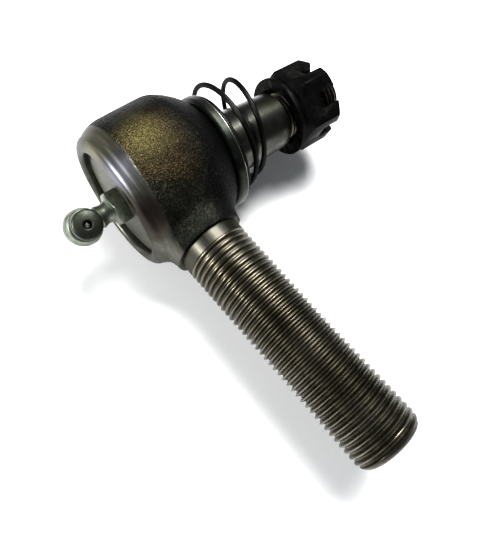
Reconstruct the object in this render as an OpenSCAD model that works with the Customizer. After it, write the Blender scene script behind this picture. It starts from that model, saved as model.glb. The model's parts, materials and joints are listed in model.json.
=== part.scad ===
// Tie rod end: forged ball housing with an external threaded shank, a tapered ball stud held by a
// half-ball bearing, a spring-loaded dust cover, a slotted nut and an angled grease fitting.
// Frame: origin at the ball centre, +X along the shank to its end, +Y along the stud to the nut.
// Parts of the socket and of the stud are drawn about a local Z axis, and along_socket() or
// along_stud() lays them down.

/* [Shank] */
// Outside diameter of the shank thread (5/8 inch)
shank_d = 15.875; // [14:0.125:18]
// Pitch of the shank thread (18 threads per inch)
shank_pitch = 1.4111; // [1.25:0.01:1.6]
// Distance from the ball centre to the end of the shank
shank_end_x = 77.6; // [60:0.2:110]
// Distance from the ball centre to the first full thread
thread_start_x = 24.2; // [23:0.2:30]

/* [Housing] */
// Largest outside diameter of the forged housing
barrel_d = 36.8; // [36:0.2:38.4]
// Diameter of the ball-shaped dome that the dust cover rides on
dome_d = 39.8; // [39.6:0.1:40.6]
// Diameter of the opening in the rolled lip
lip_opening_d = 26.6; // [26.4:0.1:27.4]
// Distance from the ball centre to the outer face of the rolled lip
lip_depth = 11.4; // [11.3:0.1:12.2]
// Diameter of the forged neck where it meets the shank
neck_d = 17.8; // [17:0.1:20]

/* [Stud] */
// Diameter of the stud journal and of the large end of its taper
stud_d = 16.8; // [16.4:0.1:17]
// Taper of the stud, as length for each unit of diameter
taper_ratio = 10; // [8:0.5:14]
// Outside diameter of the stud thread (1/2 inch)
stud_thread_d = 12.7; // [12:0.1:13]
// Pitch of the stud thread (20 threads per inch)
stud_pitch = 1.27; // [1.2:0.01:1.5]
// How far the stud leans towards the shank at rest, in degrees
stud_rest_tilt = 3.5; // [2:0.5:5]

/* [Dust cover] */
// Outside diameter of the dust cover
cover_d = 29.2; // [29.2:0.1:30.4]
// Distance from the ball centre to the rim of the dust cover
cover_rim_z = 17.2; // [17:0.1:19]
// How far the dust cover leans towards the shank at rest, in degrees
cover_rest_tilt = 3.5; // [1:0.5:6]
// How far the dust cover leans towards -Z at rest, in degrees
cover_rest_swing = 0.5; // [0:0.5:3]
// Wire diameter of the dust cover spring
spring_wire_d = 1.3; // [1:0.1:1.4]
// Number of turns in the dust cover spring
spring_turns = 2.75; // [2:0.05:3]
// How far each turn of the dust cover spring leans further over than the turn before
spring_lean = 2.4; // [0:0.1:3]

/* [Nut] */
// Width of the slotted nut across its flats
nut_af = 19.05; // [18:0.05:20]
// Height of the slotted nut
nut_h = 14; // [12:0.1:16]
// Distance from the ball centre to the bearing face of the nut
nut_face_z = 38.3; // [38:0.1:44]
// Width of the slots for the cotter pin
nut_slot_w = 4.0; // [3.2:0.1:4.2]

/* [Grease fitting] */
// Width across flats of the fitting's hexagon
fitting_af = 7.94; // [7:0.01:9]
// Angle of the nipple about the stud axis, from +Z towards +X, in degrees
nipple_angle = 32; // [0:1:90]
// Distance from the ball centre to the middle of the elbow
elbow_depth = 20.0; // [19.6:0.1:24]

/* [Hidden] */
$fn = 96;

eps = 0.01;
running_gap = 0.05;      // radial clearance of a running fit

// Housing
shank_r = shank_d / 2;
barrel_r = barrel_d / 2;
dome_r = dome_d / 2;
lip_r = lip_opening_d / 2;
neck_r = neck_d / 2;
neck_end_x = 20.8;       // where the forging ends and the turned collar begins
lip_outer_r = 17.0;      // outside of the rolled lip
lip_round = 2.6;
lip_edge_round = 1.1;    // rounding between the lip's crest and its opening
shoulder_round = 9;      // rounding between the lip and the barrel
shoulder_z = -4.4;
plate_seat_r = 15.1;     // counterbore that holds the cover plate
plate_seat_z = -8.2;
plate_t = 1.2;
plate_face_z = plate_seat_z - plate_t - 0.1;
race_r = 14.4;           // bore for the bearing race
race_top_z = 5.9;
throat_r = 11.6;
mouth_r = 12.5;          // opening in the dome, sized for the stud's tilt
mouth_z = sqrt(dome_r * dome_r - mouth_r * mouth_r);

// Joint
ball_r = 13;             // half-ball bearing
head_ball_r = 7.2;       // spherical underside of the stud's head
head_r = 11;
head_top_z = -0.55;
head_bottom_z = -2.4;
journal_r = stud_d / 2;

// Stud
taper_start_z = 17;
taper_end_z = nut_face_z - 1.2;
taper_end_r = journal_r - (taper_end_z - taper_start_z) / taper_ratio / 2;
stud_thread_r = stud_thread_d / 2;
stud_end_z = nut_face_z + nut_h + 3;
cotter_hole_r = 1.6;
cotter_hole_z = nut_face_z + nut_h - 3.2;

// Dust cover
cover_r = cover_d / 2;
cover_t = 0.8;
cover_bore_r = journal_r + 2;
cover_corner_z = 14.5;   // underside of the cover's rounded corner
cover_corner_r = 1;
cover_bowl_r = 12.4;     // where the ball-shaped bottom turns down into the corner
seal_in_r = dome_r + 0.15;
seal_t = 0.7;
seal_edge_angle = 37;    // how far the seal reaches down the dome, from its own axis
cover_ball_r = seal_in_r + seal_t + 0.02;

// Spring of the dust cover
wire_r = spring_wire_d / 2;
spring_r = 13.3;         // of the turn that rests on the cover
spring_pitch = 6.1;
spring_closed = 1.2;     // turns over which the pitch opens
spring_widen = 0.6;      // gain of radius from the first turn to the second
spring_narrow = 1.5;     // loss of radius in each turn after that
spring_shift = 3.0;      // sideways step of the turns above the first
spring_back = 2.0;       // lean of the second turn, the other way
spring_sides = 10;
spring_steps = 24;       // rings in each turn

// Nut
nut_slot_depth = 5.4;
nut_angle = 40;          // direction of one flat about the stud axis, from +Z towards +X
flange_r = 10.4;
flange_t = 1.1;
thread_gap = 0.08;

// Grease fitting
fitting_shank_r = 3.17;
fitting_hex_h = 3.4;
fitting_corner_r = fitting_af / sqrt(3);
elbow_r = 4.4;
elbow_neck_r = 2.6;
nipple_boss_r = 3.75;
nipple_boss_h = 4.9;     // from the middle of the elbow
nipple_shank_r = 1.88;
grease_hole_r = 1.1;
nipple_r = 3.27;
nipple_neck_r = 2.35;
nipple_tip = 9.8;        // from the middle of the elbow
ball_check_r = 1.25;

// Points of an arc in a profile, centre (cx, cy), from angle a to angle b
function arc(cx, cy, r, a, b, n = 8) =
    [for (i = [0 : n]) let (t = a + (b - a) * i / n) [cx + r * cos(t), cy + r * sin(t)]];

// Outline of one thread groove that starts at z, from crest radius r down to r - depth
function groove(z, r, depth, pitch) =
    [[r, z], [r, z + pitch * 0.16], [r - depth, z + pitch * 0.5], [r - depth, z + pitch * 0.66]];

// Thread grooves from z0 upwards, n of them
function grooves(z0, n, r, depth, pitch) =
    [for (k = [0 : n - 1]) each groove(z0 + k * pitch, r, depth, pitch)];

// Lays a part that is drawn about local Z along the socket axis, +Y
module along_socket() { rotate([-90, 0, 0]) children(); }

// Lays a part that is drawn about local Z along the stud, which leans towards the shank
module along_stud() { rotate([0, 0, -stud_rest_tilt]) along_socket() children(); }

// Lays a part that is drawn about local Z along the shank, +X
module along_shank() { rotate([0, 90, 0]) children(); }

// Lays a part that is drawn about local Z along the dust cover's own axis
module along_cover() {
    rotate([-cover_rest_swing, 0, -cover_rest_tilt]) along_socket() children();
}

// Places a part of the nipple, drawn about local Z, at the elbow
module at_nipple() {
    translate([0, -elbow_depth, 0]) rotate([0, nipple_angle, 0]) children();
}

module threaded_rod(z0, z1, r, pitch, chamfer) {
    depth = pitch * 0.61;
    n = floor((z1 - z0 - chamfer) / pitch);
    top = z0 + n * pitch;
    rotate_extrude()
        polygon(concat([[0, z0 - 1]], [[r - eps, z0 - 1]], grooves(z0, n, r, depth, pitch),
            [[r, top], [r, z1 - chamfer], [r - chamfer, z1], [0, z1]]));
}

module housing_forging() {
    rotate_extrude()
        polygon(concat(
            [[0, -lip_depth]],
            arc(lip_outer_r - lip_round, lip_round - lip_depth, lip_round, -90, -20),
            arc(barrel_r - shoulder_round, shoulder_z, shoulder_round, -33, 0),
            arc(0, 0, dome_r, acos(barrel_r / dome_r), acos(mouth_r / dome_r), 16),
            [[0, mouth_z]]));
}

module neck() {
    flare = 4.2;
    flare_angle = 63;
    flare_r = neck_r + flare * (1 - cos(flare_angle));
    along_shank()
        rotate_extrude()
            polygon(concat([[0, 8], [flare_r, 8]],
                arc(neck_r + flare, neck_end_x - 0.8, flare, 180 + flare_angle, 180),
                [[neck_r, neck_end_x - 0.4], [neck_r - 0.4, neck_end_x], [0, neck_end_x]]));
}

module socket_cavity() {
    along_socket()
        rotate_extrude()
            polygon(concat([[0, -lip_depth - 1], [lip_r + lip_edge_round, -lip_depth - 1]],
                arc(lip_r + lip_edge_round, lip_edge_round - lip_depth, lip_edge_round, -90, -180),
                [[lip_r, plate_seat_z - plate_t],
                [plate_seat_r, plate_seat_z - plate_t], [plate_seat_r, plate_seat_z],
                [race_r, plate_seat_z], [race_r, race_top_z], [throat_r, race_top_z],
                [throat_r, race_top_z + 4], [mouth_r, mouth_z - 0.6], [mouth_r, mouth_z + 3],
                [0, mouth_z + 3]]));
}

module housing() {
    color("#3d3b38")
        difference() {
            union() {
                along_socket() housing_forging();
                neck();
                along_shank() translate([0, 0, neck_end_x - 2])
                    cylinder(r = shank_r, h = thread_start_x - neck_end_x + 2);
                along_shank() threaded_rod(thread_start_x, shank_end_x, shank_r, shank_pitch, 2.0);
            }
            socket_cavity();
        }
}

module bearing_race() {
    color("#8f9296")
        along_socket()
            difference() {
                translate([0, 0, -1.5]) cylinder(r = race_r, h = race_top_z + 1.5);
                sphere(r = ball_r + running_gap);
                translate([0, 0, -2]) cylinder(r = throat_r, h = race_top_z + 3);
            }
}

module half_ball_bearing() {
    top_z = 8;
    color("#a3a6a8")
        along_stud()
            difference() {
                intersection() {
                    sphere(r = ball_r);
                    translate([0, 0, head_top_z]) cylinder(r = ball_r + 1, h = top_z - head_top_z);
                }
                translate([0, 0, -2]) cylinder(r = journal_r + running_gap, h = top_z + 4);
            }
}

module ball_stud() {
    thread_z = taper_end_z + 0.9;
    root_r = stud_thread_r - 0.8;
    turns = floor((stud_end_z - thread_z - 0.9) / stud_pitch);
    flank = asin(-(head_bottom_z) / head_ball_r);
    color("#77746c")
        along_stud()
            difference() {
                rotate_extrude()
                    polygon(concat(
                        arc(0, 0, head_ball_r, -90, -flank, 16),
                        [[head_r - 0.8, head_bottom_z], [head_r, head_bottom_z + 0.8],
                            [head_r, head_top_z - 0.3], [head_r - 0.3, head_top_z - 0.02],
                            [journal_r, head_top_z - 0.02], [journal_r, taper_start_z],
                            [taper_end_r, taper_end_z], [root_r, taper_end_z], [root_r, thread_z]],
                        grooves(thread_z + 0.02, turns, stud_thread_r, stud_pitch * 0.61, stud_pitch),
                        [[stud_thread_r, thread_z + 0.02 + turns * stud_pitch],
                            [stud_thread_r, stud_end_z - 0.9], [stud_thread_r - 0.9, stud_end_z],
                            [0, stud_end_z]]));
                translate([0, 0, cotter_hole_z]) rotate([0, 0, nut_angle - 90]) rotate([0, 90, 0])
                    cylinder(r = cotter_hole_r, h = 3 * stud_thread_r, center = true);
            }
}

module pressure_seat() {
    color("#8c8468")
        along_socket()
            difference() {
                rotate_extrude()
                    polygon([[1.6, -8], [5.6, -8], [6.2, -7.5], [6.2, -6.9], [13.6, -6.9],
                        [race_r - 0.3, -6.5], [race_r - 0.3, -6], [13.8, -5.7], [7.4, -5.7],
                        [5.8, -4.9], [1.6, -4.9]]);
                sphere(r = head_ball_r + running_gap);
            }
}

module preload_spring() {
    color("#5b6068")
        along_socket()
            rotate_extrude()
                polygon([[7, -6.92], [7.8, -6.92], [13.9, -7.6], [13.9, plate_seat_z + 0.02],
                    [13.1, plate_seat_z + 0.02], [7, -7.5]]);
}

module cover_plate() {
    color("#8d8468")
        along_socket()
            difference() {
                rotate_extrude()
                    polygon([[0, plate_seat_z], [plate_seat_r, plate_seat_z],
                        [plate_seat_r, plate_seat_z - plate_t], [13, plate_seat_z - plate_t],
                        [12.7, plate_face_z], [0, plate_face_z]]);
                translate([0, 0, plate_seat_z - 4]) cylinder(r = fitting_shank_r, h = 5);
            }
}

module grease_elbow() {
    color("#9a9d8c") {
        difference() {
            union() {
                along_socket() {
                    translate([0, 0, plate_face_z - 1])
                        cylinder(r = fitting_shank_r, h = plate_seat_z - plate_face_z + 1.1);
                    translate([0, 0, plate_face_z - fitting_hex_h])
                        rotate([0, 0, nipple_angle + 30])
                        intersection() {
                            cylinder(r = fitting_corner_r, h = fitting_hex_h, $fn = 6);
                            translate([0, 0, fitting_hex_h / 2])
                                sphere(r = fitting_corner_r + 0.33);
                        }
                    translate([0, 0, -elbow_depth])
                        cylinder(r = elbow_neck_r, h = elbow_depth + plate_face_z - 1);
                    translate([0, 0, -elbow_depth]) sphere(r = elbow_r);
                }
                at_nipple() cylinder(r = nipple_boss_r, h = nipple_boss_h);
            }
            at_nipple() cylinder(r = nipple_shank_r + 0.02, h = nipple_tip);
            along_socket() translate([0, 0, -elbow_depth])
                cylinder(r = grease_hole_r, h = elbow_depth);
        }
    }
}

module grease_nipple() {
    color("#a9ab9c")
        at_nipple()
            rotate_extrude()
                polygon([[1.45, 2.6], [nipple_shank_r, 2.6], [nipple_shank_r, nipple_boss_h],
                    [nipple_r - 0.2, nipple_boss_h + 0.02],
                    [nipple_r - 0.2, 5.5], [nipple_neck_r, 6.3], [nipple_neck_r, 7.1],
                    [nipple_r, 8.0], [nipple_r, 8.6], [2.0, nipple_tip], [0.9, nipple_tip],
                    [0.9, 9.0], [1.45, 8.3]]);
}

module check_ball() {
    color("#d0d2d0") at_nipple() translate([0, 0, 7.42]) sphere(r = ball_check_r);
}

module check_ball_spring() {
    turns = 4;
    steps = 12;
    pitch = 0.7;
    angles = [for (i = [0 : turns * steps]) 360 * i / steps];
    color("#8a8c8e")
        at_nipple()
            tube([for (a = angles) [cos(a), sin(a), 3.6 + pitch * a / 360]],
                [for (a = angles) [cos(a), sin(a), 0]], 0.18, 8);
}

// Closed tube swept along the points of a centre line, with its normal vectors
module tube(line, normals, wire, sides) {
    n = len(line) - 1;
    function unit(v) = v / norm(v);
    function ring(i) =
        let (t = unit(line[min(i + 1, n)] - line[max(i - 1, 0)]), b = unit(cross(t, normals[i])),
            m = cross(b, t))
        [for (k = [0 : sides - 1]) let (a = 360 * k / sides)
            line[i] + wire * (cos(a) * m + sin(a) * b)];
    walls = [for (i = [0 : n - 1], k = [0 : sides - 1])
        let (a = i * sides + k, b = i * sides + (k + 1) % sides)
        each [[a, a + sides, b + sides], [a, b + sides, b]]];
    polyhedron([for (i = [0 : n]) each ring(i)], concat(walls, [[for (k = [0 : sides - 1]) k]],
        [[for (k = [0 : sides - 1]) n * sides + sides - 1 - k]]), convexity = 10);
}

module dust_seal() {
    inner_angle = asin((cover_bore_r - 0.3) / seal_in_r);
    color("#1c1c1c")
        along_cover()
            rotate_extrude()
                polygon(concat(
                    arc(0, 0, seal_in_r, 90 - inner_angle, 90 - seal_edge_angle, 12),
                    arc(0, 0, seal_in_r + seal_t, 90 - seal_edge_angle, 90 - inner_angle, 12)));
}

module dust_cover() {
    outer_ball_r = cover_ball_r + cover_t;
    bowl_angle = acos(cover_bowl_r / cover_ball_r);
    bowl_outer_angle = acos((cover_bowl_r - 0.2) / outer_ball_r);
    color("#8b8f84")
        along_cover()
            rotate_extrude()
                polygon(concat(
                    arc(0, 0, cover_ball_r, bowl_angle, acos(cover_bore_r / cover_ball_r)),
                    arc(0, 0, outer_ball_r, acos(cover_bore_r / outer_ball_r), bowl_outer_angle),
                    [[cover_r - cover_t, cover_corner_z + 1.4], [cover_r - cover_t, cover_rim_z],
                        [cover_r, cover_rim_z]],
                    arc(cover_r - cover_corner_r, cover_corner_z + cover_corner_r, cover_corner_r,
                        0, -80, 6)));
}

// Centre line of the dust cover's spring at turn u. Its first turn lies in the cover, and the
// turns above it are shifted sideways and fan out.
function spring_point(u, seat_z) =
    let (a = 360 * u, loose = max(0, min(2 * u - 1, 1)), above = max(u - 1, 0),
        r = spring_r + spring_widen * loose - spring_narrow * above,
        climb = u < spring_closed ? u * u / 2 / spring_closed : u - spring_closed / 2,
        lean = spring_lean * above - spring_back * loose)
    [r * cos(a) - spring_shift * loose, r * sin(a), seat_z + spring_pitch * climb - lean * cos(a)];

module dust_cover_spring() {
    seat_z = sqrt(pow(cover_ball_r + cover_t + wire_r, 2) - spring_r * spring_r) + 0.03;
    turns = [for (i = [0 : round(spring_turns * spring_steps)]) i / spring_steps];
    color("#17181a")
        along_cover() mirror([0, 1, 0])
            tube([for (u = turns) spring_point(u, seat_z)],
                [for (u = turns) [cos(360 * u), sin(360 * u), 0]], wire_r, spring_sides);
}

module slotted_nut() {
    hex_r = nut_af / sqrt(3);
    bore_r = stud_thread_r + thread_gap;
    color("#1f2022")
        along_stud()
            translate([0, 0, nut_face_z])
                difference() {
                    union() {
                        intersection() {
                            rotate([0, 0, nut_angle]) translate([0, 0, flange_t - 0.3])
                                cylinder(r = hex_r, h = nut_h - flange_t + 0.3, $fn = 6);
                            rotate_extrude()
                                polygon([[0, 0], [nut_af / 2 - 1.3, 0], [nut_af / 2 - 1.3, flange_t],
                                    [hex_r + 0.1, flange_t + 3.2], [hex_r + 0.1, nut_h - 1.4],
                                    [nut_af / 2 - 0.3, nut_h], [0, nut_h]]);
                        }
                        cylinder(r = flange_r, h = flange_t);
                    }
                    translate([0, 0, -1]) cylinder(r = bore_r, h = nut_h + 2);
                    translate([0, 0, -eps]) cylinder(r1 = taper_end_r + 0.35, r2 = bore_r, h = 1.4);
                    for (k = [0 : 2])
                        rotate([0, 0, nut_angle + 30 + 60 * k])
                            translate([-flange_r - 2, -nut_slot_w / 2, nut_h - nut_slot_depth])
                                cube([2 * flange_r + 4, nut_slot_w, nut_slot_depth + 1]);
                }
}

housing();
bearing_race();
half_ball_bearing();
ball_stud();
pressure_seat();
preload_spring();
cover_plate();
grease_elbow();
grease_nipple();
check_ball();
check_ball_spring();
dust_seal();
dust_cover();
dust_cover_spring();
slotted_nut();
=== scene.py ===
"""Looks of the tie rod end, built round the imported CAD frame, with lengths in millimetres."""
import json
import math

import bmesh
import bpy
import numpy as np
from mathutils import Matrix, Vector, noise


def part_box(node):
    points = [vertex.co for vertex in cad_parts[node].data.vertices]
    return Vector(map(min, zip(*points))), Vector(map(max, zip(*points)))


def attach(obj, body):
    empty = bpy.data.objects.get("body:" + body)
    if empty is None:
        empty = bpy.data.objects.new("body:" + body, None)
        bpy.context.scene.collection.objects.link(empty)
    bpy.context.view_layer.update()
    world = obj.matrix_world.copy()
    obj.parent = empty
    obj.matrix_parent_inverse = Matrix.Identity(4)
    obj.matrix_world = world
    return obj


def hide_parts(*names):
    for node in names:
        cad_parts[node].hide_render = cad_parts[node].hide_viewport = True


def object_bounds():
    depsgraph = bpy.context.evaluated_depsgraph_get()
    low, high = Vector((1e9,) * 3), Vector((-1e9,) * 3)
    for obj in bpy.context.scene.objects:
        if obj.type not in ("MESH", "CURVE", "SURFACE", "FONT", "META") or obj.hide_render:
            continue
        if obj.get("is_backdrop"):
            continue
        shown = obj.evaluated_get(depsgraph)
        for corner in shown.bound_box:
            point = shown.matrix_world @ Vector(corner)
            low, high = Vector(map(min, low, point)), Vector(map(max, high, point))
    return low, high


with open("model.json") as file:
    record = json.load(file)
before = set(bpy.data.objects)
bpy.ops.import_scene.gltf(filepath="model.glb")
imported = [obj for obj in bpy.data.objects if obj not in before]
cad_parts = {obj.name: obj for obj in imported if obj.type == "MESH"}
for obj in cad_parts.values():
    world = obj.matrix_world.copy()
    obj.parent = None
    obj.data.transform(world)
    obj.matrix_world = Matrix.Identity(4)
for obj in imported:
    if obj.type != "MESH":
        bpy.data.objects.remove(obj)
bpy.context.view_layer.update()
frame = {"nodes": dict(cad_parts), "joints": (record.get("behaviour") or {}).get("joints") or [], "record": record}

MM = 0.001
TAU = 2 * math.pi


# ---------------------------------------------------------------- sizes from the frame
def node_box(node):
    """Lowest and highest corner of a CAD node, in millimetres."""
    low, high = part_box(node)
    return low / MM, high / MM


JOINTS = {j["name"]: j for j in frame["joints"]}
STUD_AXIS = Vector(JOINTS["stud_spin"]["axis"]).normalized()
COVER_AXIS = Vector(JOINTS["dust_cover_slide"]["axis"]).normalized()
NIPPLE_AXIS = -Vector(JOINTS["check_ball_slide"]["axis"]).normalized()
SHANK_THREAD = next(m for m in frame["record"]["mounts"] if m["name"] == "shank_thread")

SHANK_END = node_box("housing")[1].x
LIP_FACE = node_box("housing")[0].y
SHANK_R = SHANK_THREAD["dims"]["r_mm"]
BARREL_R = node_box("housing")[1].z


def lay(axis):
    """Matrix that lays local Z along axis, which is close to +Y, as the CAD does."""
    tilt = math.atan2(axis.x, axis.y)
    swing = math.asin(max(-1, min(1, -axis.z)))
    return (Matrix.Rotation(-tilt, 4, "Z") @ Matrix.Rotation(-swing, 4, "X")
            @ Matrix.Rotation(-math.pi / 2, 4, "X"))


SOCKET = lay(Vector((0, 1, 0)))
STUD = lay(STUD_AXIS)
COVER = lay(COVER_AXIS)
SHANK = Matrix.Rotation(math.pi / 2, 4, "Y")


def height(node, matrix):
    """Lowest and highest local Z of a CAD node when matrix has laid it down, in millimetres."""
    back = matrix.to_3x3().transposed()
    levels = [(back @ v.co).z for v in frame["nodes"][node].data.vertices]
    return min(levels) / MM, max(levels) / MM


def widest(node, matrix):
    """Largest radius of a CAD node about local Z and the highest level there, in millimetres."""
    back = matrix.to_3x3().transposed()
    points = [back @ v.co / MM for v in frame["nodes"][node].data.vertices]
    radius = max(math.hypot(p.x, p.y) for p in points)
    return radius, max(p.z for p in points if math.hypot(p.x, p.y) > radius - 0.2)


# ---------------------------------------------------------------- sizes of the pieces
# Forging
DOME_R = 19.9
SHOULDER_R = 9.0
SHOULDER_Y = -4.4
LIP_OUTER_R = 17.0
LIP_ROUND = 2.6
LIP_EDGE = 1.1
LIP_OPENING_R = LIP_OUTER_R - LIP_ROUND - LIP_EDGE
BARE_LIP_Y = -7.1               # the lip is bare steel below this level
MOUTH_R = 12.5
MOUTH_Y = math.sqrt(DOME_R ** 2 - MOUTH_R ** 2)
SOCKET_R = 14.4
SOCKET_TOP = 5.9
THROAT_R = 11.6
THROAT_TOP = 9.9
NECK_R = 8.9
NECK_END = 20.8
NECK_EDGE = 0.35                # how far the edge of the neck's end face is rounded off
NECK_BLEND = 4.5                # how far the corner between barrel and neck is filled

# Shank thread
THREAD_START = 24.2
SHANK_PITCH = 1.4111
SHANK_DEPTH = SHANK_PITCH * 0.56

# Cover plate and grease fitting
PLATE_R = 15.1
PLATE_T = 1.2
PLATE_SEAT_Y = -8.2
PLATE_FACE = PLATE_SEAT_Y - PLATE_T - 0.1
FITTING_AF = 7.94
FITTING_HEX_H = 3.4
ELBOW_Y = -20.0
ELBOW_R = 4.4

# Stud and nut, along the stud's axis from the ball's centre
STUD_END = height("ball_stud", STUD)[1]
NUT_FACE, NUT_TOP = height("slotted_nut", STUD)
NUT_AF = 19.05
NUT_TURN = math.radians(40 - 90)
JOURNAL_R = 8.4
TAPER = 10
TAPER_START = 17.0
TAPER_END = NUT_FACE - 1.2
TAPER_END_R = JOURNAL_R - (TAPER_END - TAPER_START) / TAPER / 2
STUD_THREAD_R = 6.35
STUD_PITCH = 1.27
STUD_DEPTH = 0.74
COTTER_R = 1.6
COTTER_Z = NUT_TOP - 3.2

# Dust cover and seal, along the cover's axis
COVER_R, RIM_Z = widest("dust_cover", COVER)
COVER_T = 0.8
COVER_BORE = JOURNAL_R + 2
SEAL_T = 0.7
SEAL_R = DOME_R + 0.15
BOWL_R = SEAL_R + SEAL_T + 0.02
BOWL_EDGE = 12.4
CORNER_Z = 14.5


# ---------------------------------------------------------------- mesh helpers
def new_object(name, points, faces, matrix=None):
    """An object in metres from points in millimetres, with its faces turned outward."""
    data = bpy.data.meshes.new(name)
    data.from_pydata([Vector(p) * MM for p in points], [], faces)
    if matrix is not None:
        data.transform(matrix)
    b = bmesh.new()
    b.from_mesh(data)
    bmesh.ops.remove_doubles(b, verts=b.verts, dist=1e-6)
    bmesh.ops.recalc_face_normals(b, faces=b.faces)
    b.to_mesh(data)
    b.free()
    obj = bpy.data.objects.new(name, data)
    bpy.context.scene.collection.objects.link(obj)
    return obj


def helper(points, faces, matrix=None):
    """A closed solid that a boolean uses up."""
    return new_object("helper", points, faces, matrix)


def mesh(name, points, faces, body, slot, node=None, matrix=None, sharp=32):
    """A piece that rides on a body, with smooth shading."""
    obj = new_object(name, points, faces, matrix)
    shade(obj.data, sharp)
    declare(obj, body, node)
    return obj


def shade(data, sharp=32):
    """Smooth shading, but for edges sharper than an angle in degrees."""
    data.shade_smooth()
    data.set_sharp_from_angle(angle=math.radians(sharp))


def declare(obj, body, node=None):
    """Hangs a piece on its body and hides the CAD node that it replaces."""
    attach(obj, body)
    if node:
        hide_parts(node)


def settle(obj):
    """Applies the modifiers of an object."""
    depsgraph = bpy.context.evaluated_depsgraph_get()
    data = bpy.data.meshes.new_from_object(obj.evaluated_get(depsgraph))
    obj.modifiers.clear()
    obj.data = data
    shade(data)


def bevel(obj, width, segments=2, angle=30):
    """Rounds off edges sharper than an angle in degrees, by a width in millimetres."""
    m = obj.modifiers.new("bevel", "BEVEL")
    m.width = width * MM
    m.segments = segments
    m.limit_method = "ANGLE"
    m.angle_limit = math.radians(angle)
    m.miter_outer = "MITER_ARC"
    settle(obj)


def boolean(obj, other, operation="DIFFERENCE"):
    """Cuts, joins or intersects with a helper object, which is then removed."""
    m = obj.modifiers.new("cut", "BOOLEAN")
    m.operation = operation
    m.object = other
    m.solver = "MANIFOLD"
    settle(obj)
    data = other.data
    bpy.data.objects.remove(other)
    bpy.data.meshes.remove(data)


def arc(cx, cy, r, a, b, n=8):
    """Points of an arc in a profile, from angle a to angle b in degrees."""
    steps = [math.radians(a + (b - a) * i / n) for i in range(n + 1)]
    return [(cx + r * math.cos(t), cy + r * math.sin(t)) for t in steps]


def fine(profile, step):
    """A profile with points no further apart than step."""
    out = [profile[0]]
    for (r0, z0), (r1, z1) in zip(profile, profile[1:]):
        n = max(1, math.ceil(math.hypot(r1 - r0, z1 - z0) / step))
        out += [(r0 + (r1 - r0) * i / n, z0 + (z1 - z0) * i / n) for i in range(1, n + 1)]
    return out


def turned(profile, steps=128, closed=False):
    """Points and faces of a profile (radius, z) turned about local Z. A closed profile makes a ring."""
    points = [(r * math.cos(TAU * k / steps), r * math.sin(TAU * k / steps), z)
              for r, z in profile for k in range(steps)]
    rows = len(profile)
    last = rows if closed else rows - 1
    faces = [(i * steps + k, i * steps + (k + 1) % steps,
              (i + 1) % rows * steps + (k + 1) % steps, (i + 1) % rows * steps + k)
             for i in range(last) for k in range(steps)]
    return points, faces


def prism(sides, r, z0, z1):
    """Points and faces of a regular prism about local Z."""
    ring = [(r * math.cos(TAU * k / sides), r * math.sin(TAU * k / sides)) for k in range(sides)]
    points = [(x, y, z) for z in (z0, z1) for x, y in ring]
    faces = [(k, (k + 1) % sides, sides + (k + 1) % sides, sides + k) for k in range(sides)]
    return points, faces + [tuple(range(sides))[::-1], tuple(range(sides, 2 * sides))]


def block(low, high):
    """Points and faces of a box between two corners."""
    points = [(x, y, z) for x in (low[0], high[0]) for y in (low[1], high[1])
              for z in (low[2], high[2])]
    return points, [(0, 1, 3, 2), (4, 6, 7, 5), (0, 4, 5, 1), (2, 3, 7, 6), (0, 2, 6, 4),
                    (1, 5, 7, 3)]


def thread(z0, z1, crest, depth, pitch, outline, per_turn=128, rows=20):
    """Points and faces of a helical thread about local Z. outline(z) is the largest radius at a
    level, and the thread closes on itself at both ends."""
    turns = math.ceil((z1 - z0) / pitch) + 3
    points = []
    count = turns * rows + 1
    for j in range(count):
        for i in range(per_turn):
            raw = z0 + pitch * (j / rows + i / per_turn - 2)
            phase = j % rows / rows
            r = crest - depth * thread_depth(phase)
            over = max(0, raw - z1) / pitch
            under = max(0, z0 - raw) / pitch
            z = min(max(raw, z0), z1)
            r = min(r, outline(z)) * max(0, 1 - over) * max(0, 1 - under)
            t = TAU * i / per_turn
            points.append((r * math.cos(t), r * math.sin(t), z))
    faces = []
    for j in range(count - 1):
        for i in range(per_turn):
            k, shift = ((i + 1), 0) if i + 1 < per_turn else (0, rows)
            if j + 1 + shift < count:
                faces.append((j * per_turn + i, (j + shift) * per_turn + k,
                              (j + 1 + shift) * per_turn + k, (j + 1) * per_turn + i))
    return points, faces


def thread_depth(phase):
    """Depth of a rolled thread, from 0 on the crest to 1 in the root, at a share of the pitch."""
    crest, flank = 0.13, 0.32
    if phase < crest:
        edge = min(phase, crest - phase) / crest
        return 0.06 * (1 - min(1, 4 * edge))
    t = phase - crest
    if t < flank:
        return 0.03 + 0.97 * t / flank
    if t > 1 - crest - flank:
        return 0.03 + 0.97 * (1 - crest - t) / flank
    return 1


def swept(line, normals, wire, sides=20):
    """Points and faces of a round wire along a line, with flat ends."""
    line = [Vector(p) for p in line]
    points = []
    for i, (p, normal) in enumerate(zip(line, normals)):
        t = (line[min(i + 1, len(line) - 1)] - line[max(i - 1, 0)]).normalized()
        b = t.cross(Vector(normal)).normalized()
        m = b.cross(t)
        points += [p + wire * (math.cos(TAU * k / sides) * m + math.sin(TAU * k / sides) * b)
                   for k in range(sides)]
    faces = [(i * sides + k, i * sides + (k + 1) % sides, (i + 1) * sides + (k + 1) % sides,
              (i + 1) * sides + k) for i in range(len(line) - 1) for k in range(sides)]
    faces.append(tuple(range(sides))[::-1])
    faces.append(tuple(range((len(line) - 1) * sides, len(line) * sides)))
    return points, faces


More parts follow.
